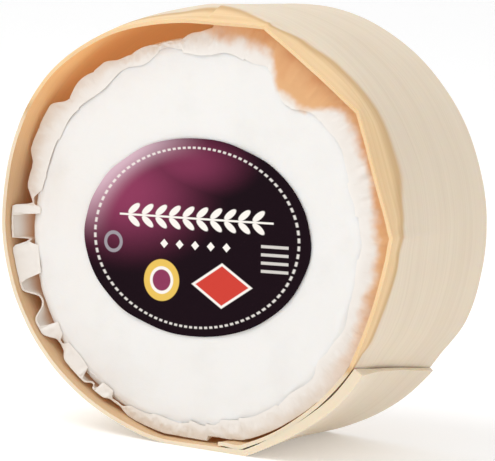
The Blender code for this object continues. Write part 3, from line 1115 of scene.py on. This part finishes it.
def placePaper(index, cell, share):
    begin = pleatStarts[index][0]
    even = begin + (pleatStarts[index + 1][0] - begin) * cell
    angle = math.radians(even)
    for start, end in zip(paperStations, paperStations[1:]):
        if share <= end[0]:
            break
    step = (share - start[0]) / (end[0] - start[0])
    if end[1] is not None:
        return inBox(angle, start[1] + (end[1] - start[1]) * step, paperShape["backY"])
    isFold = index < len(bigFolds)
    leaveY = paperShape["foldY"] if isFold else paperShape["flareY"]
    if end[0] < 1.0:
        top = paperShape["backY"] if start[1] is not None else paperShape["sideY"]
        bottom = paperShape["sideY"] if start[1] is not None else leaveY
        y = top + (bottom - top) * step
        radius = cheeseSide(angle, y) + paperShape["room"]
        if start[1] is not None:
            radius = start[1] + (radius - start[1]) * step
        return inBox(angle, radius, y)

    reach, flap = foldState(index, cell) if isFold else plainState(index, cell, even)
    plainTurn = cheeseFront(angle, cheeseRadius(angle) - paperShape["turnInside"]) + paperShape["lipBehind"]
    turnY = plainTurn + (paperShape["foldFront"] - plainTurn) * reach if isFold else plainTurn
    nearest = cheeseSide(angle, turnY) + paperShape["room"]
    widest = max(roomRadius(angle, turnY) - paperShape["wallRoom"], nearest)
    outer = nearest + (widest - nearest) * min(max(reach, 0.0), 1.0)
    tongues = sum(depth * within(even, middle, half, half) for middle, half, depth in lipTongues)
    waves = ringNoise(angle, 5.0, 2.0)
    lip = paperShape["lipWidth"] + paperShape["lipWave"] * (waves + 0.5 * chance(index, 5.0)) + tongues
    inner = outer + (cheeseRadius(angle) - lip - outer) * flap
    inner = min(inner, outer - paperShape["hem"])
    turnOver = paperShape["turnOver"]
    crumple = ringNoise(angle, 9.0, share * 3.0)
    crease = ringNoise(angle, 26.0, share * 5.0)
    if step <= turnOver:
        way = step / turnOver
        y = leaveY + (turnY - leaveY) * way
        side = cheeseSide(angle, y) + paperShape["room"]
        radius = side + (outer - side) * smoothStep(way)
        radius += paperShape["crumple"] * (crumple + 0.6 * crease) * way * (1.0 - way) * 4.0
        radius = min(max(radius, side), max(roomRadius(angle, y) - paperShape["wallRoom"], side))
        return inBox(angle, radius, y)
    way = (step - turnOver) / (1.0 - turnOver)
    radius = outer + (inner - outer) * way
    edgeY = cheeseFront(angle, inner) - paperShape["lipAbove"]
    front = min(edgeY, turnY) if not isFold else edgeY + (turnY - edgeY) * (1.0 - flap)
    y = turnY + (front - turnY) * math.sin(math.pi / 2 * way)
    wrinkle = ringNoise(angle, 34.0, way * 1.2) + 0.7 * ringNoise(angle, 75.0, way * 2.0 + 4.0)
    y += paperShape["wrinkle"] * (wrinkle + 0.6 * crumple) * math.sin(math.pi * min(way + 0.12, 1.0))
    return inBox(angle, radius, min(y, cheeseFront(angle, radius) - paperShape["lipAbove"]))


def makePaperMaterial():
    tree, given, result = newGroup(
        "paperFibre",
        (("Place", "NodeSocketVector"), ("White", "NodeSocketColor"), ("Cloudy", "NodeSocketColor")),
        (("Color", "NodeSocketColor"), ("Height", "NodeSocketFloat")),
    )
    place = given.outputs["Place"]
    clouds = noiseAt(tree, place, 120.0, 3.0, 0.55)
    fibres = noiseAt(tree, place, 1500.0, 3.0, 0.6)
    share = calc(tree, "MULTIPLY", remap(tree, clouds, 0.45, 0.75), 0.35)
    colour = mixColour(tree, share, given.outputs["White"], given.outputs["Cloudy"])
    tree.links.new(colour, result.inputs["Color"])
    tree.links.new(fibres, result.inputs["Height"])

    material, surface, shader = newMaterial("waxedPaper", paperLook["surface"])
    sheet = placedGroup(surface, tree, White=paperLook["white"], Cloudy=paperLook["cloudy"])
    glow = placedGroup(surface, warmGlow)
    warm = mixColour(surface, glow.outputs["Streak"], paperLook["glow"], paperLook["glowStreak"])
    colour = mixColour(surface, glow.outputs["Glow"], sheet.outputs["Color"], warm)
    surface.links.new(colour, shader.inputs["Base Color"])
    # painted light: emission stands in for light coming through the veneer and paper
    through = mixColour(surface, glow.outputs["Glow"], paperLook["paintedGlowWhite"], paperLook["paintedGlowWarm"])
    surface.links.new(through, shader.inputs["Emission Color"])
    addBump(surface, shader, sheet.outputs["Height"], 0.2, 0.0001)
    return material


def buildPaper():
    columnsPerPleat = paperShape["columnsPerPleat"]
    columns = (len(pleatStarts) - 1) * columnsPerPleat
    paper = addGrid("paperCup", columns, paperShape["rows"])
    for vertex in paper.data.vertices:
        column = round((vertex.co.x + 0.5) * columns) % columns
        index, cell = divmod(column, columnsPerPleat)
        vertex.co = placePaper(index, cell / columnsPerPleat, vertex.co.y + 0.5)
    mergeSeam(paper, 0.00001)
    applyModifier(paper, "SOLIDIFY", thickness=paperShape["thickness"], offset=0.0)
    faceOutward(paper)
    shadeSmooth(paper, 45.0)
    paper.data.materials.append(makePaperMaterial())
    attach(paper, "root")
    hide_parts("paper_cup")


# studio

studio = {
    "azimuth": 29.14,
    "elevation": 5.94,
    "roll": 4.0,
    "distance": 1.134,
    "sideways": -0.01351,
    "upward": -0.00372,
    "lens": 281.8,
    "sensor": 36.0,
    "floorSize": 40.0,
    "worldColor": (1.0, 1.0, 1.0, 1.0),
    "worldStrength": 0.84,
    "floor": {
        "Base Color": (0.930, 0.930, 0.930, 1.0),
        "Emission Color": (0.180, 0.180, 0.180, 1.0),
        "Emission Strength": 1.0,
        "Roughness": 0.6,
        "Specular IOR Level": 0.2,
    },
    "keyPlace": (-0.50, -0.78, 1.32),
    "keySize": 0.9,
    "keyPower": 9.0,
    "fillPlace": (1.0, -1.1, 0.28),
    "fillSize": 0.7,
    "fillPower": 0.4,
}


def addCamera():
    azimuth = math.radians(studio["azimuth"])
    elevation = math.radians(studio["elevation"])
    roll = math.radians(studio["roll"])
    backward = Vector((
        math.sin(azimuth) * math.cos(elevation),
        -math.cos(azimuth) * math.cos(elevation),
        math.sin(elevation),
    ))
    right = Vector((0.0, 0.0, 1.0)).cross(backward).normalized()
    upward = backward.cross(right)
    turnedRight = right * math.cos(roll) + upward * math.sin(roll)
    turnedUp = upward * math.cos(roll) - right * math.sin(roll)
    target = Vector((0.0, backY, boxShape["axisHeight"]))
    place = target + backward * studio["distance"]
    place += turnedRight * studio["sideways"] + turnedUp * studio["upward"]
    camera = bpy.data.objects.new("camera", bpy.data.cameras.new("camera"))
    scene.collection.objects.link(camera)
    matrix = Matrix((turnedRight, turnedUp, backward)).transposed().to_4x4()
    matrix.translation = place
    camera.matrix_world = matrix
    camera.data.lens = studio["lens"]
    camera.data.sensor_width = studio["sensor"]
    camera.data.clip_start = 0.05
    camera.data.clip_end = 60.0
    scene.camera = camera


def addSoftLight(name, place, size, power):
    light = bpy.data.lights.new(name, "AREA")
    light.shape = "DISK"
    light.size = size
    light.energy = power
    lamp = bpy.data.objects.new(name, light)
    scene.collection.objects.link(lamp)
    lamp.location = place
    aim = Vector((0.0, 0.0, boxShape["axisHeight"])) - Vector(place)
    lamp.rotation_euler = aim.to_track_quat("-Z", "Y").to_euler()


def buildStudio():
    deselectAll()
    bpy.ops.mesh.primitive_plane_add(size=studio["floorSize"], location=(0.0, 0.0, 0.0))
    floor = renameActive("floor")
    floor.data.materials.append(newMaterial("paleFloor", studio["floor"])[0])
    world = bpy.data.worlds.new("studioWorld")
    scene.world = world
    world.use_nodes = True
    background = world.node_tree.nodes["Background"]
    setInputs(background, {"Color": studio["worldColor"], "Strength": studio["worldStrength"]})
    addSoftLight("keyLight", studio["keyPlace"], studio["keySize"], studio["keyPower"])
    addSoftLight("fillLight", studio["fillPlace"], studio["fillSize"], studio["fillPower"])


buildStrip()
print("veneer strip made")
dressBoard()
print("back board dressed")
buildCheese()
print("cheese made")
buildLabel()
print("label made")
buildPaper()
print("paper made")
buildStudio()
addCamera()
print("studio and camera set")

bpy.context.view_layer.update()
